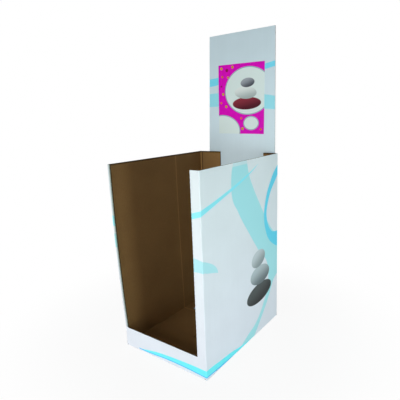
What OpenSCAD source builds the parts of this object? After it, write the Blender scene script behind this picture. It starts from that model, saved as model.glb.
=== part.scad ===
// Free-standing display stand of corrugated board.
// One folded wrap forms an open-topped box with a window in front, and a tall card that is glued behind
// its rear flanges closes the back and carries a poster above the box.
// Millimetres: X to the right seen from the front, Y to the back, Z up.
// The origin is on the floor, at the centre of the whole outline.

/* [Board] */
// Thickness of the corrugated board
board_t = 5; // [3:0.5:7]
// Inside radius of a scored fold
fold_r = 0.5; // [0.5:0.25:2]

/* [Body] */
// Width over the two side walls at the floor
body_w = 405; // [320:1:560]
// Depth from the front face to the rear flanges
body_d = 550; // [440:2:760]
// Height of the walls
body_h = 744; // [500:2:900]
// Height of the lip below the window
lip_h = 80; // [40:1:160]
// Width of the post on the left of the window
post_left_w = 14; // [12:1:60]
// Width of the post on the right of the window
post_right_w = 38; // [12:1:80]
// Width of the left rear flange
flange_left_w = 116; // [80:1:130]
// Width of the right rear flange
flange_right_w = 66; // [64:1:130]
// How far the left wall has spread at its free top corner
splay = 29; // [0:1:50]

/* [Window ties] */
// Distance between the torn ties of the window's perforation
tie_pitch = 16; // [10:0.5:30]
// Height of a torn tie
tie_h = 4; // [2:0.5:8]
// How far a torn tie stands out of the window's edge
tie_out = 1.5; // [0.5:0.25:3]
// How far the tear has crushed a tie on each face of the board
tie_crush = 0.5; // [0.25:0.25:1]

/* [Bottom flaps] */
// Length of the front flap and of the card's flap, from the face that they are folded from
end_flap_length = 180; // [120:2:200]
// Length over which the front flap climbs onto the side flaps
flap_climb = 60; // [40:2:80]
// Gap left by a die-cut slit
slit_w = 3; // [1:0.5:5]

/* [Back card] */
// Height of the back card
card_h = 1248; // [1100:1:1500]
// Lap of the card over the left rear flange
card_lap_left = 63; // [30:1:70]
// Lap of the card over the right rear flange
card_lap_right = 51; // [30:1:55]
// How much the card's left edge slants in from the top of the box to the top of the card
card_taper = 19; // [0:1:40]

/* [Poster] */
// Width of the poster
poster_w = 229; // [120:1:260]
// Height of the poster
poster_h = 296; // [120:1:340]
// Distance from the card's top edge down to the middle of the poster's top edge
poster_drop = 127; // [10:1:150]
// Distance from the card's left edge, below its slant, to the middle of the poster's left edge
poster_in = 60; // [45:1:90]
// Degrees by which the poster is stuck askew, clockwise seen from the front
poster_tilt = 0.9; // [0:0.1:3]
// Thickness of the poster
poster_t = 0.4; // [0.2:0.1:1]

/* [Glue] */
// Width of a flattened glue line
glue_w = 20; // [8:1:28]
// Thickness of a flattened glue line
glue_t = 0.4; // [0.2:0.1:1]
// Distance that a glue line keeps from the ends of its lap
glue_margin = 25; // [5:1:40]

/* [Hidden] */
$fn = 48;

// Segments along the bent wall, up it and round its fold
sheet_cols = 6;
sheet_rows = 8;
fold_steps = 6;

// Outside radius of a scored fold, where the score has crushed the board
edge_r = board_t / 2;
fold_out = fold_r + board_t;
wall_run = body_d - 2 * fold_out;
front_run = body_w - 2 * fold_out;
wall_front = -wall_run / 2;
wall_rear = wall_run / 2;
side_flap_front = -body_d / 2 + flap_climb + slit_w;
side_flap_rear = wall_rear - slit_w;
side_flap_length = (body_w - slit_w) / 2;
flap_rise = board_t + glue_t;
card_fold_top = flap_rise + fold_out;
flange_foot = board_t + slit_w;

card_left = -body_w / 2 + flange_left_w - card_lap_left;
card_right = body_w / 2 - flange_right_w + card_lap_right;
card_w = card_right - card_left;
card_mid = (card_left + card_right) / 2;
card_front = body_d / 2 + glue_t;
card_back = card_front + board_t;

// Centre of the outline, seen from the middle of the box
outline_x = -splay / 2;
outline_y = (card_back - body_d / 2) / 2;

// Evenly spaced values, both ends included
function steps(from, to, count) = [for (i = [0:count]) from + (to - from) * i / count];

// The same values without the first one
function steps_after(from, to, count) = [for (i = [1:count]) from + (to - from) * i / count];

// Outward lean of the left wall's front edge: a parabola that starts at the lip and ends upright
function lean(z) =
    let (share = max(0, (z - lip_h) / (body_h - lip_h)))
    splay * share * (2 - share);

// Line of the left wall, its front fold and its post at one height, a given depth inside the outer face,
// where the fold has a given radius
function left_line(depth, radius, z) = concat(
    [
        for (y = steps(wall_rear, wall_front, sheet_cols))
            [-body_w / 2 + depth - lean(z) * (wall_rear - y) / wall_run, y, z]
    ],
    [
        for (turn = steps_after(180, 270, fold_steps))
            [
                -body_w / 2 + depth + radius * (1 + cos(turn)) - lean(z),
                -body_d / 2 + depth + radius * (1 + sin(turn)),
                z
            ]
    ],
    [[-body_w / 2 + post_left_w - lean(z), -body_d / 2 + depth, z]]
);

// Closed sheet between two grids of points, rows running up and columns to the right seen from outside
module sheet(outside, inside) {
    rows = len(outside);
    cols = len(outside[0]);
    back = rows * cols;
    polyhedron(
        points = [for (row = concat(outside, inside)) each row],
        faces = concat(
            [
                for (r = [0:rows - 2], c = [0:cols - 2])
                    let (a = r * cols + c, b = a + 1, d = a + cols, e = d + 1)
                    each [
                        [a, d, e],
                        [a, e, b],
                        [back + a, back + e, back + d],
                        [back + a, back + b, back + e]
                    ]
            ],
            [
                for (c = [0:cols - 2])
                    let (low = c, high = (rows - 1) * cols + c)
                    each [
                        [low, low + 1, back + low + 1, back + low],
                        [high, back + high, back + high + 1, high + 1]
                    ]
            ],
            [
                for (r = [0:rows - 2])
                    let (first = r * cols, last = first + cols - 1)
                    each [
                        [first, back + first, back + first + cols, first + cols],
                        [last, last + cols, back + last + cols, back + last]
                    ]
            ]
        )
    );
}

// Puts the middle of the box so that the outline's centre is on the origin
module placed() {
    translate([-outline_x, -outline_y, 0]) children();
}

// Extrudes a plan between two heights
module upright(foot, top) {
    translate([0, 0, foot]) linear_extrude(top - foot) children();
}

// Section of a fold about its inside axis, pointing to -X and -Y: a corner with its outside edge rounded
module fold_ring() {
    difference() {
        translate([-fold_out, -fold_out]) {
            translate([edge_r, 0]) square([fold_out - edge_r, fold_out]);
            translate([0, edge_r]) square([fold_out, fold_out - edge_r]);
            translate([edge_r, edge_r]) circle(edge_r);
        }
        circle(fold_r);
    }
}

// Section of a bottom flap, in from the wall's outer face, with its fold and its climb to a height
module flap_section(reach, climb, rise) {
    translate([fold_out, fold_out]) fold_ring();
    polygon([
        [fold_out, 0], [climb, rise], [reach, rise],
        [reach, rise + board_t], [climb, rise + board_t], [fold_out, board_t]
    ]);
}

// One side of the box drawn as the left one. The child is the wall with its front fold and post.
// The rear fold and flange are joined to it, room for the folds of three flaps is cut out of its foot,
// and the side flap is folded in.
module side(flange_w, card_lap) {
    corner_x = -body_w / 2 + fold_out;
    card_edge = -body_w / 2 + flange_w - card_lap;
    notch_x = max(corner_x, card_edge - slit_w);
    difference() {
        union() {
            children();
            upright(0, body_h) translate([corner_x, wall_rear]) mirror([0, 1]) fold_ring();
            upright(flange_foot, body_h)
                translate([corner_x, body_d / 2 - board_t]) square([flange_w - fold_out, board_t]);
        }
        flap_bay([-body_w / 2, side_flap_front - slit_w], [board_t, wall_rear - side_flap_front + slit_w]);
        flap_bay([corner_x, -body_d / 2], [front_run, board_t]);
        upright(0, card_fold_top + slit_w)
            translate([notch_x, body_d / 2 - board_t - slit_w]) square([flange_w, board_t + 2 * slit_w]);
    }
    translate([-body_w / 2, side_flap_rear]) rotate([90, 0, 0])
        linear_extrude(side_flap_rear - side_flap_front)
            flap_section(side_flap_length, side_flap_length, 0);
}

// Room for the fold of a flap at the foot of a wall, where the wall's plan has this corner and size
module flap_bay(corner, size) {
    past = size.x > size.y ? [0, slit_w] : [slit_w, 0];
    upright(-slit_w, fold_out) translate(corner - past) square(size + 2 * past);
}

// Torn ties along the window's edge of a post on the left, which may lean with its wall
module window_ties(post_w, leans) {
    for (z = [lip_h + tie_pitch:tie_pitch:body_h - tie_pitch / 2])
        upright(z - tie_h / 2, z + tie_h / 2)
            translate([-body_w / 2 + post_w - tie_out - (leans ? lean(z) : 0), -body_d / 2 + tie_crush])
                square([2 * tie_out, board_t - 2 * tie_crush]);
}

// Left wall, front fold and post, spread outwards above the lip
module spread_wall() {
    levels = concat([0], steps(lip_h, body_h, sheet_rows));
    sheet(
        [for (z = levels) left_line(0, edge_r, z)],
        [for (z = levels) left_line(board_t, fold_r, z)]
    );
    window_ties(post_left_w, true);
}

// Upright wall, front fold and post, drawn on the left
module straight_wall(post_w) {
    upright(0, body_h) {
        translate([-body_w / 2, wall_front]) square([board_t, wall_run]);
        translate([-body_w / 2 + fold_out, wall_front]) fold_ring();
        translate([-body_w / 2 + fold_out, -body_d / 2]) square([post_w - fold_out, board_t]);
    }
    window_ties(post_w, false);
}

// The folded wrap: both sides, the lip between the posts and the front flap
module body_wrap() {
    placed() color("gainsboro") {
        side(flange_left_w, card_lap_left) spread_wall();
        mirror([1, 0, 0]) side(flange_right_w, card_lap_right) straight_wall(post_right_w);
        upright(fold_out, lip_h)
            translate([-body_w / 2 + post_left_w, -body_d / 2])
                square([body_w - post_left_w - post_right_w, board_t]);
        translate([0, -body_d / 2]) rotate([90, 0, 90])
            linear_extrude(front_run - 2 * slit_w, center = true)
                flap_section(end_flap_length, flap_climb, flap_rise);
    }
}

// Plate standing behind the plane of a face: the child is its outline, drawn in X and Z
module standing(face, thick) {
    translate([0, face + thick, 0]) rotate([90, 0, 0]) linear_extrude(thick) children();
}

// The tall card: upright behind the flanges, with a slanted left edge above the box and a flap that lies
// on the side flaps
module back_card() {
    placed() color("lightsteelblue") {
        standing(card_front, board_t)
            polygon([
                [card_left, card_fold_top], [card_right, card_fold_top], [card_right, card_h],
                [card_left + card_taper, card_h], [card_left, body_h]
            ]);
        translate([card_mid, card_back, flap_rise]) rotate([90, 0, -90])
            linear_extrude(card_w - 2 * slit_w, center = true)
                flap_section(end_flap_length, end_flap_length, 0);
    }
}

// The printed sheet on the header, stuck on a little askew
module poster() {
    placed() color("mediumvioletred")
        standing(card_front - poster_t, poster_t)
            translate([card_left + poster_in + poster_w / 2, card_h - poster_drop - poster_h / 2])
                rotate(-poster_tilt) square([poster_w, poster_h], center = true);
}

// A flattened glue line on a flange, in the middle of the card's lap
module flange_glue(lap_mid) {
    upright(flange_foot + glue_margin, body_h - glue_margin)
        translate([lap_mid - glue_w / 2, body_d / 2]) square([glue_w, glue_t]);
}

// A pair of flattened glue lines between an end flap and the side flaps, between two depths
module flap_glue(from, to) {
    for (side = [-1, 1])
        upright(board_t, board_t + glue_t)
            translate([side * body_w / 4 - glue_w / 2, from]) square([glue_w, to - from]);
}

// All the glue lines of the stand
module glue_lines() {
    placed() color("wheat") {
        flange_glue(card_left + card_lap_left / 2);
        flange_glue(card_right - card_lap_right / 2);
        flap_glue(side_flap_front + glue_margin, -body_d / 2 + end_flap_length - glue_margin);
        flap_glue(card_back - end_flap_length + glue_margin, side_flap_rear - glue_margin);
    }
}

body_wrap();
back_card();
poster();
glue_lines();
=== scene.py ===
"""Looks of a cardboard display stand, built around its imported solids, in metres.

The wrap and the back card are drawn as real corrugated board: two liners with a wave of fluting between.
Each starts as a flat die-cut blank, a grid with u across the flutes and v along them, some cells cut away.
A folding rule then carries every point of the blank, at any depth in the board, to its place on the stand.
"""

import math

import bpy
import numpy as np
from mathutils import Matrix, Vector


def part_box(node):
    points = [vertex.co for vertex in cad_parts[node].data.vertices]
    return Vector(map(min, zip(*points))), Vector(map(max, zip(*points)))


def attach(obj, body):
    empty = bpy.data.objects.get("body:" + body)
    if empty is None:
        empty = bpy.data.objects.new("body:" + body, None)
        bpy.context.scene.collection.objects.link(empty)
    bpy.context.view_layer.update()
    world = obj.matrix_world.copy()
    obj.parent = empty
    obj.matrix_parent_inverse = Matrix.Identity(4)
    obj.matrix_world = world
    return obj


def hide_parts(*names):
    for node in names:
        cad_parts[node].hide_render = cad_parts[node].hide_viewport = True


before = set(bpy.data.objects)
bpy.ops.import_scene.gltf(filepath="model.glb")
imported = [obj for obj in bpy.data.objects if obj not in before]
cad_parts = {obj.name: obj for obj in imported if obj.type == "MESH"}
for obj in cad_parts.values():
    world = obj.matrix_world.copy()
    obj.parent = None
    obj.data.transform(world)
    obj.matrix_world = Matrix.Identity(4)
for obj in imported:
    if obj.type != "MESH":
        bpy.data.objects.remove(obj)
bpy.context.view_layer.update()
wrap_low, wrap_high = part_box("body_wrap")
card_low, card_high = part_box("back_card")
poster_low, poster_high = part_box("poster")

# Lengths that count as nothing: in sums, and between lines of a grid
TINY = 1e-7
MICROMETRE = 1e-6

# Board: whole thickness, radii of a fold outside and inside, reach of a fold, and the board's layers
BOARD = 0.005
EDGE = 0.0025
CREASE = 0.0005
FOLD = BOARD + CREASE
LINER = 0.0004
MEDIUM = 0.0003
FLUTE = 0.0079
FLUTE_TURN = 2 * math.pi / FLUTE

# Box: sizes of the wrap's blank
WIDTH = 0.405
DEPTH = wrap_high.y - wrap_low.y
HEIGHT = wrap_high.z
SPLAY = wrap_high.x - wrap_low.x - WIDTH
LIP = 0.080
POST_LEFT = 0.014
POST_RIGHT = 0.038
FLANGE_LEFT = 0.116
FLANGE_RIGHT = 0.066
SLIT = 0.003
FLANGE_FOOT = BOARD + SLIT
END_FLAP = 0.180
SIDE_FLAP = (WIDTH - SLIT) / 2
FLAP_CLIMB = 0.060
GLUE = 0.0004
FLAP_RISE = BOARD + GLUE
MIDDLE = np.array([wrap_high.x - WIDTH / 2, (wrap_low.y + wrap_high.y) / 2])

# Torn ties of the window's perforation: one every pitch between lip and top.
# Their tips fall short by a share of their reach, which swings with height in two waves.
TIE_PITCH = 0.016
TIE_HEIGHT = 0.004
TIE_OUT = 0.0015
TIES = np.arange(LIP + TIE_PITCH, HEIGHT - TIE_PITCH / 2 + MICROMETRE, TIE_PITCH)
TEAR_SHARE = 0.28
TEAR_SWING = 0.26
TEAR_WAVES = (5100, 1730)

# Card and poster. The poster's lower right corner has lifted a little.
CARD_LAP_LEFT = 0.063
CARD_LAP_RIGHT = 0.051
CARD_TAPER = 0.019
SLANT_RUN = 0.060
CARD_W = card_high.x - card_low.x
CARD_TOP = card_high.z
CARD_FOOT = card_low.z
CARD_BACK = card_high.y
POSTER_W = 0.229
POSTER_H = 0.296
POSTER_T = poster_high.y - poster_low.y
POSTER_TILT = math.radians(0.9)
LIFT = 0.0012
LIFT_RUN = 0.022

# Die-cut edges are pressed thinner by this share, dying away over this distance
PRESS = 0.16
PRESS_RUN = 0.0014

# Columns of the blank: window, flanges and the four upright folds
WINDOW_LEFT = POST_LEFT
WINDOW_RIGHT = WIDTH - POST_RIGHT
BLANK_LEFT = -DEPTH - FLANGE_LEFT
BLANK_RIGHT = WIDTH + DEPTH + FLANGE_RIGHT
CORNERS = np.array([-DEPTH, 0, WIDTH, WIDTH + DEPTH])
CORNER_PLACES = MIDDLE + np.array([[-1, 1], [-1, -1], [1, -1], [1, 1]]) * (WIDTH / 2, DEPTH / 2)
HEADINGS = np.radians([180, 270, 0, 90, 180])
ALONG = np.stack([np.cos(HEADINGS), np.sin(HEADINGS)], 1)
INWARD = np.stack([-np.sin(HEADINGS), np.cos(HEADINGS)], 1)

# Score beads inside, on both sides of each fold: distance from it, height and half width.
# The flanges have a second score, drawn only as a painted shade line inside, and the left wall a crease with
# a share of a bead's height.
BEAD_GAP = 0.0010
BEAD = 0.0007
BEAD_HALF = 0.0012
BEADS = np.ravel(np.add.outer(CORNERS, (FOLD + BEAD_GAP) * np.array([-1, 1])))
SECOND_SCORE = 0.0120
INNER_CREASE = -0.3675
INNER_SHARE = 0.5

# Bottom flaps: first and last column and reach. The side flaps start behind the climbing front flap.
BAY_FRONT = FLAP_CLIMB
BAY_REAR = DEPTH - FOLD
SIDE_FLAPS = [
    (-BAY_REAR + SLIT, -BAY_FRONT - SLIT, SIDE_FLAP),
    (WIDTH + BAY_FRONT + SLIT, WIDTH + BAY_REAR - SLIT, SIDE_FLAP),
]
FRONT_FLAP = (FOLD + SLIT, WIDTH - FOLD - SLIT, END_FLAP)
FLAPS = SIDE_FLAPS + [FRONT_FLAP]
FLAP_MARGIN = SLIT / 9

# Cuts at the foot of the wrap: first and last column and top, for flap folds, flanges and the card's fold
NOTCH_TOP = FLAP_RISE + FOLD + SLIT
FOOT_CUTS = [
    (BLANK_LEFT, -DEPTH - FOLD, FLANGE_FOOT),
    (BLANK_LEFT, BLANK_LEFT + CARD_LAP_LEFT + SLIT, NOTCH_TOP),
    (-BAY_REAR, -BAY_FRONT, FOLD),
    (FOLD, WIDTH - FOLD, FOLD),
    (WIDTH + BAY_FRONT, WIDTH + BAY_REAR, FOLD),
    (WIDTH + DEPTH + FOLD, BLANK_RIGHT, FLANGE_FOOT),
    (BLANK_RIGHT - CARD_LAP_RIGHT - SLIT, BLANK_RIGHT, NOTCH_TOP),
]

# Grids: lines round a fold, beside a pressed edge and over a bead, and steps of the liners and of the fluting
FOLD_LINES = np.linspace(-FOLD, FOLD, 11)
PRESS_LINES = np.array([0, 0.0005, 0.0013, 0.003])
BEAD_LINES = BEAD_HALF * np.array([-2, -1, -0.5, 0, 0.5, 1, 2])
FLUTE_COLUMN = FLUTE / 10
WRAP_COLUMN = 0.030
WRAP_ROW = 0.040
WRAP_FLUTE_ROW = 0.085
CARD_COLUMN = 0.025
CARD_ROW = 0.030
CARD_FLAP_ROW = 0.040
CARD_FLUTE_ROW = 0.150
POSTER_STEP = 0.006
SHARP_ANGLE = math.radians(40)

# Printed bands as stations along the band: (place along it, first edge, second edge).
# Those that run across the blank go along u between two heights, upright ones along v between two columns.
STREAM = [
    (0.355, 0.5795, 0.598), (0.405, 0.594, 0.614), (0.490, 0.618, 0.633), (0.703, 0.683, 0.691),
    (0.785, 0.721, 0.721),
]
LEAF = [
    (0.355, 0.399, 0.451), (0.405, 0.401, 0.4425), (0.429, 0.394, 0.433), (0.476, 0.380, 0.404),
    (0.4935, 0.374, 0.374),
]
FOOT_BAND = [
    (0.071, 0.008, 0.008), (0.088, 0.007, 0.011), (0.258, 0.0145, 0.0335), (0.405, 0.010, 0.0375),
    (0.491, 0.005, 0.0305), (0.560, 0.002, 0.0245), (0.635, 0.000, 0.012), (0.725, -0.004, 0.002),
]
LEFT_RISING = [
    (-0.600, 0.692, 0.692), (-0.450, 0.642, 0.670), (-0.250, 0.562, 0.607),
    (-0.100, 0.514, 0.562), (0.030, 0.505, 0.543),
]
LEFT_FALLING = [
    (-0.680, 0.012, 0.082), (-0.400, 0.152, 0.242), (-0.200, 0.322, 0.402),
    (-0.050, 0.404, 0.464), (0.030, 0.422, 0.476),
]
RIBBON = [
    (-0.008, 0.590, 0.730), (0.030, 0.688, 0.775), (0.064, 0.773, 0.811), (0.122, 0.829, 0.867),
    (0.185, 0.865, 0.913), (0.262, 0.867, 0.990), (0.356, 0.793, 0.965), (0.449, 0.717, 0.880),
    (0.564, 0.629, 0.792), (0.633, 0.590, 0.744), (0.695, 0.589, 0.710), (0.752, 0.608, 0.696),
]
LOOP = [
    (0.327, 0.980, 1.065), (0.366, 0.901, 1.065), (0.397, 0.867, 1.025), (0.419, 0.853, 0.900),
    (0.495, 0.831, 0.854), (0.541, 0.837, 0.861), (0.648, 0.897, 0.946), (0.692, 0.946, 0.995),
    (0.722, 0.985, 1.055),
]
CARD_UPPER = [(-0.010, 1.033, 1.066), (0.061, 1.040, 1.072), (0.289, 1.086, 1.108), (0.350, 1.097, 1.119)]
CARD_LOWER = [(-0.010, 0.946, 1.002), (0.058, 0.946, 1.005), (0.289, 0.929, 0.987), (0.350, 0.923, 0.973)]

# Print: half width of an ink's edge, line under the foot band, pale end of the ribbon, and the torn left post
# edge darkened by painted shade of its ragged ties
INK_EDGE = 0.0007
FOOT_LINE = 0.0034
RIBBON_END = (0.729, 0.732)
RIBBON_PALE = 0.40
FRAY_SHADE = 0.0120
FRAY_SHADE_STRENGTH = 0.92

# Painted light inside the wrap: half widths of the bead highlights and the second-score shade, strengths, and
# reach of the shade below the top edge
BEAD_HIGHLIGHT = 0.0045
SCORE_SHADE = 0.0055
PAINTED_LIGHT_STRENGTH = 0.8
INNER_HIGHLIGHT_STRENGTH = 0.5
TOP_SHADE = (0.009, 0.002)
TOP_SHADE_STRENGTH = 0.9

# Linear colours of paper, inks and glue
BLACK = (0, 0, 0)
COATED = (0.755, 0.845, 0.865)
COATED_LOW = (0.775, 0.822, 0.885)
COATED_CARD = (0.650, 0.795, 0.850)
# Card's paper at the top of the box, lighter than at the card's top: painted light
COATED_CARD_PAINTED_LIGHT = (0.715, 0.870, 0.930)
KRAFT = (0.300, 0.169, 0.060)
FLUTING = (0.120, 0.070, 0.028)
# Torn post edge, with the painted shade of its ragged ties
TORN_SHADE = (0.110, 0.150, 0.100)
PALE_CORE = (0.56, 0.60, 0.60)
AQUA = (0.395, 0.800, 0.840)
DEEP_CYAN = (0.130, 0.690, 0.890)
STREAM_CYAN = (0.275, 0.840, 0.930)
LEAF_CYAN = (0.440, 0.810, 0.860)
FOOT_CYAN = (0.170, 0.890, 0.960)
LINE_BLUE = (0.090, 0.520, 0.890)
CARD_BLUE = (0.205, 0.780, 0.970)
CARD_AQUA = (0.340, 0.810, 0.915)
MAGENTA = (0.800, 0.003, 0.560)
DISC_WHITE = (0.75, 0.88, 0.85)
DISC_RIM = (0.34, 0.50, 0.56)
YELLOW = (0.62, 0.36, 0.02)
ORANGE = (0.80, 0.16, 0.02)
WINE = (0.33, 0.004, 0.10)
WARM_GLUE = (0.62, 0.47, 0.22)

# Printed pebbles: centre, radii, lit and shaded tone, and turn. The light comes from above left.
SIDE_PEBBLES = [
    ((0.791, 0.180), (0.104, 0.042), (0.060, 0.075, 0.075), (0.006, 0.010, 0.010), 0.04),
    ((0.797, 0.258), (0.080, 0.041), (0.46, 0.55, 0.57), (0.13, 0.17, 0.18), -0.06),
    ((0.783, 0.332), (0.056, 0.036), (0.55, 0.63, 0.65), (0.26, 0.32, 0.33), 0.10),
]
POSTER_PEBBLES = [
    ((0.144, 0.130), (0.070, 0.026), (0.26, 0.030, 0.050), (0.07, 0.008, 0.016), 0.03),
    ((0.138, 0.175), (0.054, 0.026), (0.80, 0.88, 0.85), (0.40, 0.48, 0.47), -0.05),
    ((0.148, 0.216), (0.034, 0.019), (0.36, 0.40, 0.44), (0.08, 0.09, 0.11), 0.10),
]
PEBBLE_LIGHT = (-0.45, 0.9, 0)
PEBBLE_TONES = (-0.9, 0.9)

# Poster: discs as centre and radii, the width of their rims, and dots as place, radius and ink
POSTER_DISCS = [
    ((0.150, 0.182), (0.112, 0.096)), ((0.018, 0.012), (0.090, 0.066)), ((0.166, 0.046), (0.034, 0.026)),
]
RIM = 0.004
POSTER_DOTS = [
    (0.016, 0.281, 0.006, YELLOW), (0.044, 0.272, 0.007, WINE), (0.073, 0.284, 0.006, YELLOW),
    (0.020, 0.246, 0.005, ORANGE), (0.050, 0.242, 0.005, YELLOW), (0.015, 0.206, 0.004, WINE),
    (0.024, 0.172, 0.006, YELLOW), (0.013, 0.134, 0.005, ORANGE), (0.040, 0.118, 0.006, YELLOW),
    (0.117, 0.067, 0.005, ORANGE), (0.124, 0.022, 0.006, YELLOW), (0.214, 0.020, 0.005, ORANGE),
]

# Noise: the span of its values that a look is spread over
SPAN = (0.3, 0.7)

# Floor: how far it lies under the stand, radii of its hub and rim, rings and spokes.
# To the camera it is this share of white near the stand, white further out, and dark right underneath.
FLOOR_DROP = 0.0006
FLOOR_RADII = (0.05, 12)
FLOOR_RINGS = 12
FLOOR_SPOKES = 64
FLOOR_SHARE = 0.92
FLOOR_NEAR = (0.35, 1.0)
FLOOR_DARK = (0.16, 0.20)


def spread(start, end, step):
    """Even values from start to end, no further apart than step."""
    return np.linspace(start, end, math.ceil((end - start) / step) + 1)


def lines(*runs):
    """All the values of several runs, sorted, each once to a micrometre."""
    return np.unique(np.round(np.concatenate([np.ravel(run) for run in runs]), 6))


def beside(edges, side):
    """Values just inside cut edges, where the pressed board swells again, on side -1 or 1 of them."""
    return np.ravel(np.add.outer(edges, side * PRESS_LINES))


def inside(u, v, left, right, foot, top):
    """Cells whose middle is in a rectangle of the blank."""
    return (u > left) & (u < right) & (v > foot) & (v < top)


def wrap_cells(u, v):
    """Cells of the wrap's blank: a strip, less window, foot cuts, plus the bottom flaps."""
    kept = inside(u, v, BLANK_LEFT, BLANK_RIGHT, 0, HEIGHT)
    kept &= ~inside(u, v, WINDOW_LEFT, WINDOW_RIGHT, LIP, HEIGHT)
    for left, right, top in FOOT_CUTS:
        kept &= ~inside(u, v, left, right, 0, top)
    for left, right, reach in FLAPS:
        kept |= inside(u, v, left, right, -reach, FOLD)
    return kept


def wrap_and_tie_cells(u, v):
    """Cells of the wrap's liners: those of the blank and the torn ties along the window's two posts."""
    from_tie = np.abs(v[..., None] - TIES).min(axis=-1)
    near_left = (u > WINDOW_LEFT) & (u < WINDOW_LEFT + TIE_OUT)
    near_right = (u < WINDOW_RIGHT) & (u > WINDOW_RIGHT - TIE_OUT)
    return wrap_cells(u, v) | ((from_tie < TIE_HEIGHT / 2) & (near_left | near_right))


def pressed(depth, gap):
    """Depth in a board that is pressed thinner, to both sides alike, the nearer the cut edge is."""
    return BOARD / 2 + (depth - BOARD / 2) * (1 - PRESS * np.exp(-gap / PRESS_RUN))


def wrap_edge_gap(u, v):
    """Distance to the nearest open edge: top, flange edge, window post or lip. Negative on a tie."""
    over_lip = v > LIP + TINY
    middle = (WINDOW_LEFT + WINDOW_RIGHT) / 2
    post = np.where(u < middle, WINDOW_LEFT - u, u - WINDOW_RIGHT)
    in_window = (u > WINDOW_LEFT) & (u < WINDOW_RIGHT)
    gaps = [
        HEIGHT - v,
        u - BLANK_LEFT,
        BLANK_RIGHT - u,
        np.where(over_lip, post, BOARD),
        np.where(in_window & ~over_lip, LIP - v, BOARD),
    ]
    return np.maximum(np.minimum.reduce(gaps), -TIE_OUT)


def crease(depth):
    """Radius of a fold at a depth in the board, and how far from the outer face its centre is.

    The score has crushed the board, so the radius runs in a straight line from EDGE outside to CREASE inside.
    """
    radius = EDGE + (CREASE - EDGE) * depth / BOARD
    return radius, depth + radius


def foot_fold(v, depth):
    """Section of a bottom flap's fold, in from the wall and up: a quarter circle between straight runs."""
    radius, centre = crease(depth)
    turn = np.clip((FOLD - v) / (2 * FOLD), 0, 1) * np.pi / 2
    inward = np.where(v > TINY - FOLD, centre - radius * np.cos(turn), -v)
    height = np.where(v < FOLD - TINY, centre - radius * np.sin(turn), v)
    return inward, height


def fold_wrap(u, v, depth):
    """Folds the wrap's blank.

    Across the flutes it runs straight between the four corners and round each by a quarter circle.
    Flap columns turn in at the foot, and the front flap climbs onto the side flaps.
    The left wall leans out by a parabola of height, in proportion to the distance from its rear fold.
    """
    depth = pressed(depth, wrap_edge_gap(u, v))
    in_flap = np.logical_or.reduce(
        [(u > left - FLAP_MARGIN) & (u < right + FLAP_MARGIN) for left, right, _ in FLAPS])
    folded, folded_height = foot_fold(v, depth)
    climb = np.clip((-v - FOLD) / (FLAP_CLIMB - FOLD), 0, 1) * FLAP_RISE * ((u > 0) & (u < WIDTH))
    deep = np.where(in_flap, folded, depth)
    height = np.where(in_flap, folded_height + climb, v)

    side = np.searchsorted(CORNERS, u)
    start = np.clip(side - 1, 0, 3)
    straight = CORNER_PLACES[start] + (u - CORNERS[start])[..., None] * ALONG[side]
    straight = straight + deep[..., None] * INWARD[side]

    corner = np.abs(u[..., None] - CORNERS).argmin(axis=-1)
    past = u - CORNERS[corner]
    turn = np.clip((past + FOLD) / (2 * FOLD), 0, 1)[..., None] * np.pi / 2
    radius, offset = crease(depth)
    centre = CORNER_PLACES[corner] + offset[..., None] * (ALONG[corner + 1] - ALONG[corner])
    spoke = np.sin(turn) * ALONG[corner] - np.cos(turn) * INWARD[corner]
    rounded = centre + radius[..., None] * spoke
    plan = np.where(np.abs(past)[..., None] < FOLD - TINY, rounded, straight)

    share = np.clip((height - LIP) / (HEIGHT - LIP), 0, 1)
    towards_front = np.clip((u + DEPTH - FOLD) / (DEPTH - 2 * FOLD), 0, 1) * (u < WIDTH / 2)
    lean = SPLAY * share * (2 - share) * towards_front
    return np.stack([plan[..., 0] - lean, plan[..., 1], height], axis=-1)


def score_beads(u, v):
    """Height of the ridges that scoring leaves inside: a bell curve at each bead, and at the inner crease."""
    ridges = np.exp(-((u[..., None] - BEADS) / BEAD_HALF) ** 2).sum(axis=-1)
    low_ridge = INNER_SHARE * np.exp(-((u - INNER_CREASE) / BEAD_HALF) ** 2)
    return BEAD * (ridges + low_ridge) * (v > FOLD)


def card_cells(u, v):
    """Cells of the card's blank: the tall sheet and its narrower bottom flap."""
    sheet = inside(u, v, 0, CARD_W, FOLD, CARD_TOP - CARD_FOOT)
    return sheet | inside(u, v, SLIT, CARD_W - SLIT, -END_FLAP, FOLD)


def card_width(v):
    """Width of the card at a height on its blank: the left edge slants in above the box."""
    return CARD_W - CARD_TAPER * np.clip((v + CARD_FOOT - HEIGHT) / (CARD_TOP - HEIGHT), 0, 1)


def slant(u, v):
    """Columns of the card, those near the left edge drawn in evenly: the last one follows the slant."""
    return u - np.maximum(1 - (CARD_W - u) / SLANT_RUN, 0) * (CARD_W - card_width(v))


def fold_card(u, v, depth):
    """Folds the card's blank, seen from behind: upright, its flap turned in at the floor like the others."""
    side_gap = np.where(v > FOLD, np.minimum(u, card_width(v) - u), BOARD)
    gap = np.minimum(CARD_TOP - CARD_FOOT - v, side_gap)
    deep, height = foot_fold(v, pressed(depth, np.maximum(gap, 0)))
    return np.stack([card_high.x - u, CARD_BACK - deep, height + CARD_FOOT], axis=-1)


def no_beads(u, v):
    """No ridge anywhere."""
    return np.zeros_like(u)


def every_cell(u, v):
    """All the cells of a plain rectangle."""
    return np.ones(u.shape, bool)


def lay_poster(u, v, depth):
    """Lays the poster on the card's face, turned a little askew, one corner lifted by a bell curve."""
    across = u - POSTER_W / 2
    up = v - POSTER_H / 2
    x = across * math.cos(POSTER_TILT) + up * math.sin(POSTER_TILT)
    z = up * math.cos(POSTER_TILT) - across * math.sin(POSTER_TILT)
    lift = LIFT * np.exp(-(np.hypot(POSTER_W - u, v) / LIFT_RUN) ** 2)
    middle = (poster_low + poster_high) / 2
    return np.stack([middle.x + x, poster_low.y + depth - lift, middle.z + z], axis=-1)


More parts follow.
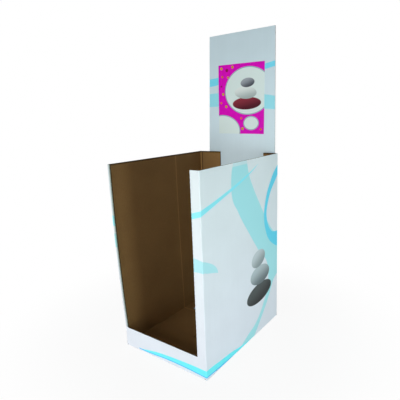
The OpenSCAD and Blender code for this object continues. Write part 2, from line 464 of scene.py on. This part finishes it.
def cut_grid(columns, rows, cells):
    """Corner points of a blank's grid, and which of its cells are kept."""
    u, v = np.meshgrid(columns, rows)
    middles = np.meshgrid((columns[1:] + columns[:-1]) / 2, (rows[1:] + rows[:-1]) / 2)
    return u, v, cells(*middles)


def closed_sheet(outside, back, kept):
    """Sheet between two grids of points: quads on the kept cells of both, and a rim along every cut edge.

    Returns points, quads, the grid corner of each point, and 0, 1 or 2 for an outside, inside or rim quad.
    """
    corner = np.arange(kept.size + sum(kept.shape) + 1).reshape(np.add(kept.shape, 1))
    a, b = corner[:-1, :-1], corner[:-1, 1:]
    d, c = corner[1:, :-1], corner[1:, 1:]
    under = corner.size
    fenced = np.pad(kept, 1)
    sets = [
        (kept, (a, b, c, d), 0),
        (kept, (a + under, d + under, c + under, b + under), 1),
        (kept & ~fenced[:-2, 1:-1], (a, a + under, b + under, b), 2),
        (kept & ~fenced[2:, 1:-1], (d, c, c + under, d + under), 2),
        (kept & ~fenced[1:-1, :-2], (a, d, d + under, a + under), 2),
        (kept & ~fenced[1:-1, 2:], (b, b + under, c + under, c), 2),
    ]
    quads = np.concatenate([np.stack([x[cells] for x in ring], 1) for cells, ring, _ in sets])
    kinds = np.concatenate([np.full(cells.sum(), kind) for cells, _, kind in sets])
    used, quads = np.unique(quads, return_inverse=True)
    points = np.concatenate([outside.reshape(-1, 3), back.reshape(-1, 3)])[used]
    return points, quads.reshape(-1, 4), used % under, kinds


def new_piece(name, sheet, uv, materials, node):
    """Mesh object of a closed sheet, with a UV map in metres and a material for each kind of quad."""
    points, quads, corners, kinds = sheet
    mesh = bpy.data.meshes.new(name)
    mesh.vertices.add(len(points))
    mesh.vertices.foreach_set("co", points.ravel())
    mesh.loops.add(quads.size)
    mesh.loops.foreach_set("vertex_index", quads.ravel())
    mesh.polygons.add(len(quads))
    mesh.polygons.foreach_set("loop_start", np.arange(0, quads.size, 4))
    mesh.polygons.foreach_set("material_index", kinds)
    mesh.polygons.foreach_set("use_smooth", np.ones(len(quads), bool))
    for material in materials:
        mesh.materials.append(material)
    mesh.update(calc_edges=True)
    layer = mesh.uv_layers.new(name="Blank")
    layer.uv.foreach_set("vector", uv.reshape(-1, 2)[corners][quads.ravel()].ravel())
    mesh.set_sharp_from_angle(angle=SHARP_ANGLE)
    piece = bpy.data.objects.new(name, mesh)
    bpy.context.scene.collection.objects.link(piece)
    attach(piece, "root")
    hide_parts(node)


def corrugate(name, liner_grid, flute_grid, fold, beads, uv_of, finishes, node):
    """Three closed sheets of one folded board: outer liner, sine-wave fluting and inner liner.

    The fluting's depth is the board's middle plus a sine of u, and its thickness is kept square to the wave.
    """
    u, v, kept = liner_grid
    uv = uv_of(u, v)
    outside, core, within = finishes
    outer = closed_sheet(fold(u, v, np.zeros_like(u)), fold(u, v, np.full_like(u, LINER)), kept)
    new_piece(name + "_outer_liner", outer, uv, (outside, core, core), node)

    ridge = beads(u, v)
    inner = closed_sheet(fold(u, v, BOARD - LINER + ridge), fold(u, v, BOARD + ridge), kept)
    new_piece(name + "_inner_liner", inner, uv, (core, within, core), node)

    u, v, kept = flute_grid
    swing = (BOARD - 2 * LINER - MEDIUM) / 2
    half = MEDIUM / 2 * np.hypot(1, swing * FLUTE_TURN * np.cos(FLUTE_TURN * u))
    wave = BOARD / 2 + swing * np.sin(FLUTE_TURN * u)
    near = np.maximum(wave - half, LINER)
    far = np.minimum(wave + half, BOARD - LINER)
    fluting = closed_sheet(fold(u, v, near), fold(u, v, far), kept)
    new_piece(name + "_fluting", fluting, uv_of(u, v), (core, core, core), node)


def wrap_lines():
    """Columns and rows of the wrap's liners and of its fluting."""
    flap_edges = [edge for left, right, _ in FLAPS for edge in (left, right)]
    cut_edges = [edge for left, right, _ in FOOT_CUTS for edge in (left, right)]
    columns = lines(
        spread(BLANK_LEFT, BLANK_RIGHT, WRAP_COLUMN),
        np.add.outer(CORNERS, FOLD_LINES),
        np.add.outer(np.append(BEADS, INNER_CREASE), BEAD_LINES),
        flap_edges,
        cut_edges,
        beside([BLANK_LEFT, WINDOW_RIGHT], 1),
        beside([BLANK_RIGHT, WINDOW_LEFT], -1),
        [WINDOW_LEFT + TIE_OUT, WINDOW_RIGHT - TIE_OUT],
    )
    reaches = [-reach for _, _, reach in FLAPS]
    cut_tops = [top for _, _, top in FOOT_CUTS]
    foot_rows = lines(reaches, [-FLAP_CLIMB], FOLD_LINES, cut_tops)
    rows = lines(
        foot_rows,
        spread(-SIDE_FLAP, -FLAP_CLIMB, WRAP_ROW),
        spread(LIP, HEIGHT, WRAP_ROW),
        np.add.outer(TIES, TIE_HEIGHT * np.array([-0.5, 0, 0.5])),
        beside([HEIGHT, LIP], -1),
    )
    flute_columns = lines(
        spread(BLANK_LEFT, BLANK_RIGHT, FLUTE_COLUMN),
        flap_edges,
        cut_edges,
        [WINDOW_LEFT, WINDOW_RIGHT],
    )
    flute_rows = lines(
        foot_rows[foot_rows < -FOLD],
        FOLD_LINES[::2],
        foot_rows[foot_rows > FOLD],
        spread(LIP, HEIGHT, WRAP_FLUTE_ROW),
        [HEIGHT - PRESS_RUN],
    )
    return columns, rows, flute_columns, flute_rows


def tear(u, v):
    """Columns with the tips of the ties torn: each falls short by a share that waves with its height."""
    first, second = TEAR_WAVES
    short = TIE_OUT * (TEAR_SHARE + TEAR_SWING * np.sin(v * first) * np.cos(v * second))
    at_left = np.isclose(u, WINDOW_LEFT + TIE_OUT, atol=MICROMETRE)
    at_right = np.isclose(u, WINDOW_RIGHT - TIE_OUT, atol=MICROMETRE)
    return u + short * (at_right.astype(float) - at_left)


def card_lines():
    """Columns and rows of the card's liners and of its fluting."""
    top = CARD_TOP - CARD_FOOT
    bend = HEIGHT - CARD_FOOT
    columns = lines(
        spread(0, CARD_W, CARD_COLUMN),
        [SLIT, CARD_W - SLIT],
        beside([0], 1),
        beside([CARD_W], -1),
    )
    rows = lines(
        spread(-END_FLAP, -FOLD, CARD_FLAP_ROW),
        FOLD_LINES,
        spread(FOLD, top, CARD_ROW),
        beside([top], -1),
        [bend],
    )
    flute_columns = lines(spread(0, CARD_W, FLUTE_COLUMN), [SLIT, CARD_W - SLIT])
    flute_rows = lines(
        [-END_FLAP],
        FOLD_LINES[::2],
        [bend],
        spread(FOLD, top, CARD_FLUTE_ROW),
        [top - PRESS_RUN],
    )
    return columns, rows, flute_columns, flute_rows


def wrap_print_place(u, v):
    """Place in the wrap's print: the place on its blank."""
    return np.stack([u, v], -1)


def card_print_place(u, v):
    """Place in the card's print: across from the left edge seen in front, and up from the floor."""
    return np.stack([CARD_W - u, v + CARD_FOOT], -1)


def build_wrap(printed, kraft, fluting):
    """The folded wrap: print outside, kraft inside."""
    columns, rows, flute_columns, flute_rows = wrap_lines()
    u, v, kept = cut_grid(columns, rows, wrap_and_tie_cells)
    liner_grid = (tear(u, v), v, kept)
    flute_grid = cut_grid(flute_columns, flute_rows, wrap_cells)
    corrugate("wrap", liner_grid, flute_grid, fold_wrap, score_beads, wrap_print_place,
              (printed, fluting, kraft), "body_wrap")


def build_card(printed, kraft, fluting):
    """The back card: kraft behind, print in front."""
    columns, rows, flute_columns, flute_rows = card_lines()
    u, v, kept = cut_grid(columns, rows, card_cells)
    flute_u, flute_v, flute_kept = cut_grid(flute_columns, flute_rows, card_cells)
    liner_grid = (slant(u, v), v, kept)
    flute_grid = (slant(flute_u, flute_v), flute_v, flute_kept)
    corrugate("card", liner_grid, flute_grid, fold_card, no_beads, card_print_place,
              (kraft, fluting, printed), "back_card")


def build_poster(printed):
    """The poster: a thin sheet on the header."""
    columns = lines(spread(0, POSTER_W, POSTER_STEP))
    rows = lines(spread(0, POSTER_H, POSTER_STEP))
    u, v, kept = cut_grid(columns, rows, every_cell)
    face = lay_poster(u, v, np.zeros_like(u))
    sheet = closed_sheet(face, lay_poster(u, v, np.full_like(u, POSTER_T)), kept)
    finishes = (printed, printed, printed)
    new_piece("poster_sheet", sheet, np.stack([u, v], -1), finishes, "poster")


def feed(tree, socket, value):
    """Links another node's output to a socket, or sets a plain value on it."""
    if isinstance(value, bpy.types.NodeSocket):
        tree.links.new(value, socket)
    elif isinstance(value, tuple) and len(socket.default_value) > len(value):
        socket.default_value = (*value, 1)
    else:
        socket.default_value = value


def calc(tree, operation, *values):
    """One step of arithmetic."""
    node = tree.nodes.new("ShaderNodeMath")
    node.operation = operation
    for socket, value in zip(node.inputs, values):
        feed(tree, socket, value)
    return node.outputs[0]


def measure(tree, operation, *vectors):
    """One number worked out from vectors, such as a length."""
    node = tree.nodes.new("ShaderNodeVectorMath")
    node.operation = operation
    for socket, vector in zip(node.inputs, vectors):
        feed(tree, socket, vector)
    return node.outputs["Value"]


def rise(tree, value, start, end, low=0.0, high=1.0):
    """Smooth step from low to high while value goes from start to end."""
    node = tree.nodes.new("ShaderNodeMapRange")
    node.interpolation_type = "SMOOTHSTEP"
    for name, setting in zip(("From Min", "From Max", "To Min", "To Max"), (start, end, low, high)):
        node.inputs[name].default_value = setting
    feed(tree, node.inputs["Value"], value)
    return node.outputs["Result"]


def blend(tree, share, under, over):
    """Colour under, with a share of colour over laid on it."""
    node = tree.nodes.new("ShaderNodeMix")
    node.data_type = "RGBA"
    feed(tree, node.inputs[0], share)
    feed(tree, node.inputs[6], under)
    feed(tree, node.inputs[7], over)
    return node.outputs[2]


def mixed(tree, share, first, second):
    """A share of the first value and the rest of the second."""
    return calc(tree, "MULTIPLY_ADD", first, share, calc(tree, "MULTIPLY", second, 1 - share))


def placed(tree, place, scale, centre=(0, 0, 0), turn=0.0, kind="POINT"):
    """Coordinates stretched by scale, or with kind TEXTURE measured from a centre in units of scale."""
    node = tree.nodes.new("ShaderNodeMapping")
    node.vector_type = kind
    node.inputs["Location"].default_value = centre
    node.inputs["Rotation"].default_value = (0, 0, turn)
    node.inputs["Scale"].default_value = scale
    feed(tree, node.inputs["Vector"], place)
    return node.outputs[0]


def noise(tree, place, scale=1.0, detail=2.0, roughness=0.5):
    """Cloudy noise from 0 to 1."""
    node = tree.nodes.new("ShaderNodeTexNoise")
    node.inputs["Scale"].default_value = scale
    node.inputs["Detail"].default_value = detail
    node.inputs["Roughness"].default_value = roughness
    feed(tree, node.inputs["Vector"], place)
    return node.outputs[0]


def bump(tree, shader, height, strength, distance):
    """Bumps the shader's surface by a height field, on top of any bump that it has."""
    node = tree.nodes.new("ShaderNodeBump")
    node.inputs["Strength"].default_value = strength
    node.inputs["Distance"].default_value = distance
    feed(tree, node.inputs["Height"], height)
    if shader.inputs["Normal"].is_linked:
        feed(tree, node.inputs["Normal"], shader.inputs["Normal"].links[0].from_socket)
    feed(tree, shader.inputs["Normal"], node.outputs[0])


def new_material(name):
    """Empty material: its tree and its shader."""
    material = bpy.data.materials.new(name)
    material.use_nodes = True
    tree = material.node_tree
    tree.nodes.clear()
    shader = tree.nodes.new("ShaderNodeBsdfPrincipled")
    output = tree.nodes.new("ShaderNodeOutputMaterial")
    tree.links.new(shader.outputs[0], output.inputs["Surface"])
    return material, tree, shader


def finish(tree, shader, colour, roughness, gloss):
    """Gives the shader its colour, roughness and level of gloss."""
    feed(tree, shader.inputs["Base Color"], colour)
    feed(tree, shader.inputs["Roughness"], roughness)
    shader.inputs["Specular IOR Level"].default_value = gloss


def blank_place(tree):
    """Place on the flat blank in metres, whole and as u and v."""
    node = tree.nodes.new("ShaderNodeUVMap")
    node.uv_map = "Blank"
    split = tree.nodes.new("ShaderNodeSeparateXYZ")
    tree.links.new(node.outputs[0], split.inputs[0])
    return node.outputs[0], split.outputs[0], split.outputs[1]


def flute_lines(tree, u):
    """Sine of u, one wave a flute."""
    return calc(tree, "SINE", calc(tree, "MULTIPLY", u, FLUTE_TURN))


def curve_through(tree, along, places, values):
    """Smooth curve through values at places, read at the place along."""
    first, last = places[0], places[-1]
    low = min(values)
    span = max(max(values) - low, TINY)
    node = tree.nodes.new("ShaderNodeFloatCurve")
    points = node.mapping.curves[0].points
    stations = [((p - first) / (last - first), (x - low) / span) for p, x in zip(places, values)]
    points[0].location = stations[0]
    points[1].location = stations[-1]
    for station in stations[1:-1]:
        points.new(*station)
    node.mapping.update()
    share = calc(tree, "DIVIDE", calc(tree, "SUBTRACT", along, first), last - first)
    feed(tree, node.inputs["Value"], share)
    return calc(tree, "MULTIPLY_ADD", node.outputs[0], span, low)


def band(tree, along, across, stations):
    """Mask of a printed band: between two curves, and between its first and last station."""
    places, firsts, seconds = zip(*stations)
    past_first = calc(tree, "SUBTRACT", across, curve_through(tree, along, places, firsts))
    to_second = calc(tree, "SUBTRACT", curve_through(tree, along, places, seconds), across)
    mask = calc(
        tree, "MULTIPLY",
        rise(tree, past_first, -INK_EDGE, INK_EDGE),
        rise(tree, to_second, -INK_EDGE, INK_EDGE),
    )
    ends = calc(
        tree, "MULTIPLY",
        rise(tree, along, places[0] - INK_EDGE, places[0] + INK_EDGE),
        rise(tree, along, places[-1] + INK_EDGE, places[-1] - INK_EDGE),
    )
    return calc(tree, "MULTIPLY", mask, ends)


def disc(tree, colour, place, centre, radii, paint, turn=0.0):
    """Paints an ellipse: where the place, measured from the centre in radii, is nearer than 1."""
    local = placed(tree, place, (*radii, 1), (*centre, 0), turn, "TEXTURE")
    soft = INK_EDGE / min(radii)
    mask = rise(tree, measure(tree, "LENGTH", local), 1 + soft, 1 - soft)
    return blend(tree, mask, colour, paint)


def pebble(tree, colour, place, centre, radii, light, shade, turn):
    """Paints a rounded stone: an ellipse whose tone runs from light on the lit side to shade opposite."""
    local = placed(tree, place, (*radii, 1), (*centre, 0), turn, "TEXTURE")
    slope = measure(tree, "DOT_PRODUCT", local, PEBBLE_LIGHT)
    tone = blend(tree, rise(tree, slope, *PEBBLE_TONES), shade, light)
    return disc(tree, colour, place, centre, radii, tone, turn)


def tint_of(colour, share):
    """A colour made darker or lighter."""
    return tuple(share * x for x in colour)


def near_line(tree, along, line, half, strength):
    """Mask of a soft line: strength on it, fading to nothing at half its width."""
    away = calc(tree, "ABSOLUTE", calc(tree, "SUBTRACT", along, line))
    return rise(tree, away, half, 0.0, low=0.0, high=strength)


def coated_sheet(name, rows, low_paper, high_paper):
    """White coated liner, its tint drifting between two rows, mottled, with a trace of the flutes.

    Returns the material, its tree and shader, the place on the blank, u and v, and the colour so far.
    """
    material, tree, shader = new_material(name)
    place, u, v = blank_place(tree)
    paper = blend(tree, rise(tree, v, *rows), low_paper, high_paper)
    cloud = noise(tree, place, scale=9, detail=3)
    streak = noise(tree, placed(tree, place, scale=(126, 2, 1)), detail=2)
    mottle = mixed(tree, 0.25, streak, cloud)
    colour = blend(tree, rise(tree, mottle, *SPAN, low=0.035, high=0.0), paper, BLACK)
    bump(tree, shader, flute_lines(tree, u), strength=0.12, distance=0.00005)
    bump(tree, shader, noise(tree, place, scale=900, detail=3), strength=0.08, distance=0.0001)
    roughness = rise(tree, cloud, *SPAN, low=0.44, high=0.54)
    finish(tree, shader, colour, roughness, gloss=0.14)
    return material, tree, shader, place, u, v, colour


def printed_wrap():
    """Outside of the wrap: flowing aqua bands and a stack of grey pebbles on the right side."""
    material, tree, shader, place, u, v, colour = coated_sheet(
        "coated_print_wrap", (0, HEIGHT), COATED_LOW, COATED)
    paling = rise(tree, v, *RIBBON_END, low=1.0, high=RIBBON_PALE)
    inked = calc(tree, "MULTIPLY", band(tree, v, u, RIBBON), paling)
    colour = blend(tree, inked, colour, AQUA)
    colour = blend(tree, band(tree, v, u, LOOP), colour, DEEP_CYAN)
    under_foot_band = [(p, low - INK_EDGE, low + FOOT_LINE) for p, low, _ in FOOT_BAND]
    across = (
        (STREAM, STREAM_CYAN), (LEAF, LEAF_CYAN), (FOOT_BAND, FOOT_CYAN),
        (LEFT_RISING, STREAM_CYAN), (LEFT_FALLING, AQUA), (under_foot_band, LINE_BLUE),
    )
    for stations, ink in across:
        colour = blend(tree, band(tree, u, v, stations), colour, ink)
    # Torn edge of the left post, darkened as painted shade of its ragged ties, from a tie's height above the
    # lip
    torn_shade = near_line(tree, u, WINDOW_LEFT, FRAY_SHADE, FRAY_SHADE_STRENGTH)
    frayed_shade = calc(tree, "MULTIPLY", torn_shade, rise(tree, v, LIP, LIP + TIE_HEIGHT))
    colour = blend(tree, frayed_shade, colour, TORN_SHADE)
    for stone in SIDE_PEBBLES:
        colour = pebble(tree, colour, place, *stone)
    feed(tree, shader.inputs["Base Color"], colour)
    return material


def printed_card():
    """Front of the card: paper lighter towards the box as painted light, and two bands that pass behind the
    poster.
    """
    # Painted light: the paper brightens from the card's top down to the top of the box
    material, tree, shader, _, u, v, colour = coated_sheet(
        "coated_print_card", (HEIGHT, CARD_TOP), COATED_CARD_PAINTED_LIGHT, COATED_CARD)
    for stations, ink in ((CARD_UPPER, CARD_BLUE), (CARD_LOWER, CARD_AQUA)):
        colour = blend(tree, band(tree, u, v, stations), colour, ink)
    feed(tree, shader.inputs["Base Color"], colour)
    return material


def kraft_liner(name):
    """Brown liner with faint clouds, fibres, specks and flute lines. Returns its parts, colour last."""
    material, tree, shader = new_material(name)
    place, u, v = blank_place(tree)
    cloud = noise(tree, place, scale=6, detail=3)
    fibre = noise(tree, placed(tree, place, scale=(900, 90, 1)), detail=4, roughness=0.65)
    tone = rise(tree, mixed(tree, 0.65, fibre, cloud), *SPAN)
    colour = blend(tree, tone, tint_of(KRAFT, 0.84), tint_of(KRAFT, 1.14))
    flutes = flute_lines(tree, u)
    colour = blend(tree, rise(tree, flutes, 0.1, 1.0, high=0.16), colour, tint_of(KRAFT, 0.6))
    specks = noise(tree, place, scale=420)
    colour = blend(tree, rise(tree, specks, 0.68, 0.78, high=0.4), colour, tint_of(KRAFT, 0.4))
    bump(tree, shader, flutes, strength=0.4, distance=0.0001)
    bump(tree, shader, fibre, strength=0.35, distance=0.00015)
    finish(tree, shader, colour, roughness=0.85, gloss=0.15)
    return material, tree, shader, u, v, colour


def wrap_inside():
    """Inside of the wrap: kraft with painted highlights on the score beads and the inner crease, painted
    shade in the corner folds and second scores, and painted shade below the top edge.
    """
    material, tree, shader, u, v, colour = kraft_liner("kraft_wrap")
    # Painted highlight for the pale lines on the score beads and the inner crease; painted shade for the dark
    # lines in the corner folds and the flanges' second scores
    painted_highlight = tint_of(KRAFT, 2.0)
    deep = tint_of(KRAFT, 0.2)
    marks = [(line, FOLD, PAINTED_LIGHT_STRENGTH, deep) for line in CORNERS.tolist()]
    marks += [(line, BEAD_HIGHLIGHT, PAINTED_LIGHT_STRENGTH, painted_highlight) for line in BEADS.tolist()]
    second_scores = (-DEPTH - SECOND_SCORE, WIDTH + DEPTH + SECOND_SCORE)
    marks += [(line, SCORE_SHADE, PAINTED_LIGHT_STRENGTH, deep) for line in second_scores]
    marks += [(INNER_CREASE, BEAD_HIGHLIGHT, INNER_HIGHLIGHT_STRENGTH, painted_highlight)]
    for line, half, strength, tint in marks:
        colour = blend(tree, near_line(tree, u, line, half, strength), colour, tint)
    # Painted shade: the kraft darkens over the last few millimetres below the top edge
    start, end = (HEIGHT - below for below in TOP_SHADE)
    colour = blend(tree, rise(tree, v, start, end, high=TOP_SHADE_STRENGTH), colour, deep)
    feed(tree, shader.inputs["Base Color"], colour)
    return material


def card_back():
    """Back of the card: plain kraft."""
    return kraft_liner("kraft_card")[0]


def raw_core(name, paper):
    """Raw paper of the fluting and of every cut edge, with fibres along the flutes."""
    material, tree, shader = new_material(name)
    place = blank_place(tree)[0]
    grain = noise(tree, placed(tree, place, scale=(500, 160, 1)), detail=4, roughness=0.6)
    colour = blend(tree, rise(tree, grain, 0.25, 0.75), tint_of(paper, 0.75), paper)
    bump(tree, shader, grain, strength=0.4, distance=0.0002)
    finish(tree, shader, colour, roughness=0.9, gloss=0.15)
    return material


def printed_poster():
    """Poster: a magenta field with pale discs, pebbles and dots, on satin paper."""
    material, tree, shader = new_material("poster_print")
    place = blank_place(tree)[0]
    grain = noise(tree, place, scale=60, detail=3)
    colour = blend(tree, rise(tree, grain, *SPAN), tint_of(MAGENTA, 0.9), MAGENTA)
    for centre, (wide, high) in POSTER_DISCS:
        colour = disc(tree, colour, place, centre, (wide + RIM, high + RIM), DISC_RIM)
        colour = disc(tree, colour, place, centre, (wide, high), DISC_WHITE)
    for stone in POSTER_PEBBLES:
        colour = pebble(tree, colour, place, *stone)
    for x, y, radius, ink in POSTER_DOTS:
        colour = disc(tree, colour, place, (x, y), (radius, radius), ink)
    bump(tree, shader, noise(tree, place, scale=25), strength=0.2, distance=0.001)
    finish(tree, shader, colour, roughness=0.42, gloss=0.08)
    return material


def hot_melt():
    """Cooled glue: warm, slightly see-through, with flow marks."""
    material, tree, shader = new_material("hot_melt_glue")
    spot = tree.nodes.new("ShaderNodeTexCoord").outputs["Object"]
    flow = noise(tree, spot, scale=160, detail=3)
    colour = blend(tree, rise(tree, flow, *SPAN), tint_of(WARM_GLUE, 0.75), WARM_GLUE)
    bump(tree, shader, flow, strength=0.5, distance=0.0006)
    finish(tree, shader, colour, roughness=0.35, gloss=0.5)
    shader.inputs["Subsurface Weight"].default_value = 0.2
    shader.inputs["Subsurface Radius"].default_value = (0.002, 0.0014, 0.0007)
    return material


def white_to_camera(tree, shader, share):
    """Surface that the camera sees as a share of plain white, and that light falls on otherwise."""
    path = tree.nodes.new("ShaderNodeLightPath")
    seen = calc(tree, "MAXIMUM", path.outputs["Is Camera Ray"], path.outputs["Is Glossy Ray"])
    seen = calc(tree, "MAXIMUM", seen, path.outputs["Is Transmission Ray"])
    glow = tree.nodes.new("ShaderNodeEmission")
    glow.inputs["Color"].default_value = (1, 1, 1, 1)
    mix = tree.nodes.new("ShaderNodeMixShader")
    feed(tree, mix.inputs[0], calc(tree, "MULTIPLY", seen, share))
    tree.links.new(shader.outputs[0], mix.inputs[1])
    tree.links.new(glow.outputs[0], mix.inputs[2])
    return mix


def pale_floor():
    """Floor's finish: pale and dull, and to the camera nearly white near the stand, dark right underneath."""
    material, tree, shader = new_material("pale_floor")
    shader.inputs["Base Color"].default_value = (0.80, 0.80, 0.80, 1)
    shader.inputs["Roughness"].default_value = 0.9
    spot = tree.nodes.new("ShaderNodeTexCoord").outputs["Object"]
    reach = measure(tree, "LENGTH", spot)
    share = rise(tree, reach, *FLOOR_NEAR, low=FLOOR_SHARE)
    share = calc(tree, "MULTIPLY", share, rise(tree, reach, *FLOOR_DARK))
    output = next(node for node in tree.nodes if node.type == "OUTPUT_MATERIAL")
    tree.links.new(white_to_camera(tree, shader, share).outputs[0], output.inputs["Surface"])
    return material


def build_floor():
    """Pale floor: a wide disc just under the stand, in rings about the origin round a hub."""
    around = np.linspace(0, 2 * np.pi, FLOOR_SPOKES, endpoint=False)
    turn, reach = np.meshgrid(around, np.linspace(*FLOOR_RADII, FLOOR_RINGS))
    height = np.full_like(turn, -FLOOR_DROP)
    rings = np.stack([reach * np.cos(turn), reach * np.sin(turn), height], -1)
    points = np.concatenate([rings.reshape(-1, 3), [[0, 0, -FLOOR_DROP]]])
    corner = np.arange(turn.size).reshape(turn.shape)
    after = np.roll(corner, -1, axis=1)
    quads = np.stack([corner[:-1], corner[1:], after[1:], after[:-1]], -1).reshape(-1, 4)
    hub = np.stack([corner[0], after[0], np.full(FLOOR_SPOKES, turn.size)], -1)
    mesh = bpy.data.meshes.new("floor")
    mesh.from_pydata(points.tolist(), [], quads.tolist() + hub.tolist())
    mesh.materials.append(pale_floor())
    floor = bpy.data.objects.new("floor", mesh)
    bpy.context.scene.collection.objects.link(floor)


def set_world():
    """Dim even light all round, seen as white."""
    world = bpy.data.worlds.new("studio")
    world.use_nodes = True
    tree = world.node_tree
    shader = tree.nodes["Background"]
    shader.inputs["Color"].default_value = (0.92, 0.96, 1.0, 1)
    shader.inputs["Strength"].default_value = 0.09
    output = tree.nodes["World Output"]
    tree.links.new(white_to_camera(tree, shader, 1.0).outputs[0], output.inputs["Surface"])
    bpy.context.scene.world = world


def softbox(name, place, aim, size, power, colour=(1.0, 1.0, 1.0)):
    """Square lamp at a place, turned to a point."""
    light = bpy.data.lights.new(name, "AREA")
    light.size = size
    light.energy = power
    light.color = colour
    lamp = bpy.data.objects.new(name, light)
    bpy.context.scene.collection.objects.link(lamp)
    lamp.location = place
    lamp.rotation_euler = (Vector(aim) - Vector(place)).to_track_quat("-Z", "Y").to_euler()


def set_lights():
    """Soft key in front, falling off towards the header, a low fill at the right, and a lamp behind."""
    cool = (0.91, 0.99, 1.0)
    softbox("key", place=(-0.14, -1.90, 0.42), aim=(0.0, -0.25, 0.50), size=1.2, power=29)
    softbox("fill", place=(2.0, -0.38, 0.38), aim=(0.2, 0.0, 0.40), size=0.9, power=24, colour=cool)
    softbox("back", place=(-1.7, 1.5, 0.45), aim=(-0.1, 0.1, 0.40), size=1.0, power=30)


def set_camera():
    """Camera at the photograph's angle: turned about the stand, raised, and rolled a little."""
    turn = math.radians(37.32)
    raised = math.radians(12.35)
    roll = math.radians(-2.14)
    from_middle = Vector((0.9272, -1.2266, 0.9130))
    back = Vector((math.sin(turn) * math.cos(raised), -math.cos(turn) * math.cos(raised), math.sin(raised)))
    level = Vector((0, 0, 1)).cross(back).normalized()
    upright = back.cross(level)
    right = math.cos(roll) * level + math.sin(roll) * upright
    up = math.cos(roll) * upright - math.sin(roll) * level
    data = bpy.data.cameras.new("camera")
    data.lens = 34.97
    data.sensor_width = 36
    camera = bpy.data.objects.new("camera", data)
    bpy.context.scene.collection.objects.link(camera)
    matrix = Matrix((right, up, back)).transposed().to_4x4()
    matrix.translation = Vector((*MIDDLE, 0)) + from_middle
    camera.matrix_world = matrix
    bpy.context.scene.camera = camera


build_wrap(printed_wrap(), wrap_inside(), raw_core("brown_core", FLUTING))
build_card(printed_card(), card_back(), raw_core("pale_core", PALE_CORE))
build_poster(printed_poster())
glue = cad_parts["glue_lines"]
glue.data.materials.clear()
glue.data.materials.append(hot_melt())
build_floor()
set_world()
set_lights()
set_camera()
bpy.context.scene.view_settings.view_transform = "Standard"
